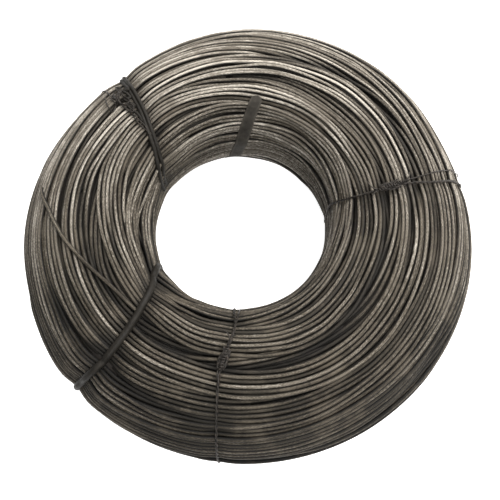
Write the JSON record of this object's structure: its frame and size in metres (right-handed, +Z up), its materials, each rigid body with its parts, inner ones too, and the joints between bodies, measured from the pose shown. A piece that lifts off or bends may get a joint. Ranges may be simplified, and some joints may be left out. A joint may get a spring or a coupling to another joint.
{
  "type": "coil of wire rope",
  "caption": "Fat ring of wound steel wire rope with half-round turns on every side, open through its middle and held by cords, binding wires and a flat strap.",
  "frame": {"origin": "on the coil's axis, at the floor that it lies on", "axes": "+Z up along the coil's axis; +X to the right binding wire; +Y to the flat strap"},
  "size_m": [0.484, 0.484, 0.1401],
  "materials": {
    "rope": "greased and dusty",
    "cord": "dull",
    "binding_wire": "annealed black",
    "strap": "matte"
  },
  "bodies": {
    "root": {"rope_coil": "rope", "rope_end": "rope", "lower_cord": "cord", "upper_cord": "cord", "right_binding_wire": "binding_wire", "front_binding_wire": "binding_wire", "loose_wire": "binding_wire", "flat_strap": "strap"}
  },
  "joints": []
}
